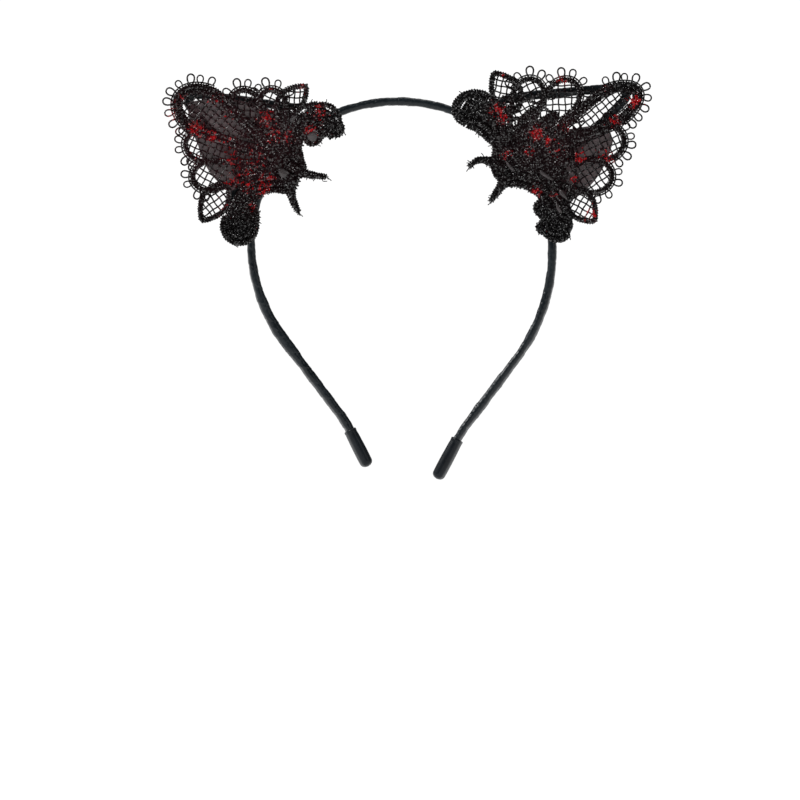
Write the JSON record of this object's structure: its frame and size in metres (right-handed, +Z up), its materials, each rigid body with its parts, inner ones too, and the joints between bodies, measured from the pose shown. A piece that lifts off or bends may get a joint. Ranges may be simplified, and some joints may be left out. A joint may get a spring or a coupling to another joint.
{
  "type": "animal ears headband",
  "caption": "Slim ribbon-wrapped sprung headband that curves in to dipped tips and carries a wired black lace cat ear on each shoulder.",
  "frame": {"origin": "middle of the crown, on the band's inner face, where it sits on the head", "axes": "+X to the wearer's left as seen from the front, +Y to the back, +Z up out of the head"},
  "size_m": [0.1866, 0.0174, 0.158],
  "materials": {
    "spring_steel": "cold-rolled strip",
    "satin_ribbon": "black satin ribbon wound in a spiral",
    "dipped_cap": "glossy dipped PVC",
    "ear_wire": "black enamelled craft wire",
    "wire_ribbon": "narrow black ribbon wound on the wire",
    "black_lace": "guipure lace with dark red paint flecks",
    "sheer_lining": "sheer organza",
    "sewing_thread": "black polyester thread",
    "hot_glue": "translucent hot glue"
  },
  "bodies": {
    "crown": {"crown_core": "spring_steel", "crown_ribbon": "satin_ribbon"},
    "left_half": {"left_core": "spring_steel", "left_ribbon": "satin_ribbon", "left_end_cap": "dipped_cap", "left_upper_lashing": "sewing_thread", "left_lower_lashing": "sewing_thread", "left_glue_pad": "hot_glue"},
    "right_half": {"right_core": "spring_steel", "right_ribbon": "satin_ribbon", "right_end_cap": "dipped_cap", "right_upper_lashing": "sewing_thread", "right_lower_lashing": "sewing_thread", "right_glue_pad": "hot_glue"},
    "left_ear": {"left_ear_wire": "ear_wire", "left_wire_wrap": "wire_ribbon", "left_lace_fan": "black_lace", "left_lining": "sheer_lining", "left_upper_scroll": "black_lace", "left_lower_scroll": "black_lace", "left_lace_stem": "black_lace"},
    "right_ear": {"right_ear_wire": "ear_wire", "right_wire_wrap": "wire_ribbon", "right_lace_fan": "black_lace", "right_lining": "sheer_lining", "right_upper_scroll": "black_lace", "right_lower_scroll": "black_lace", "right_lace_stem": "black_lace"}
  },
  "joints": [
    {"name": "left_arm_spread", "type": "hinge", "parent": "crown", "child": "left_half", "pos_m": [-0.01221, 0, 0.00022], "axis": [0, 1, 0], "range_deg": [-5, 20], "stiffness_Nm_per_rad": 0.9},
    {"name": "right_arm_spread", "type": "hinge", "parent": "crown", "child": "right_half", "pos_m": [0.01221, 0, 0.00022], "axis": [0, -1, 0], "range_deg": [-5, 20], "stiffness_Nm_per_rad": 0.9},
    {"name": "left_ear_tilt", "type": "hinge", "parent": "left_half", "child": "left_ear", "pos_m": [-0.04356, -0.0036, -0.02749], "axis": [0.5299, 0, 0.848], "range_deg": [-15, 15]},
    {"name": "right_ear_tilt", "type": "hinge", "parent": "right_half", "child": "right_ear", "pos_m": [0.04531, -0.0036, -0.02794], "axis": [0.5519, 0, -0.8339], "range_deg": [-15, 15]}
  ]
}
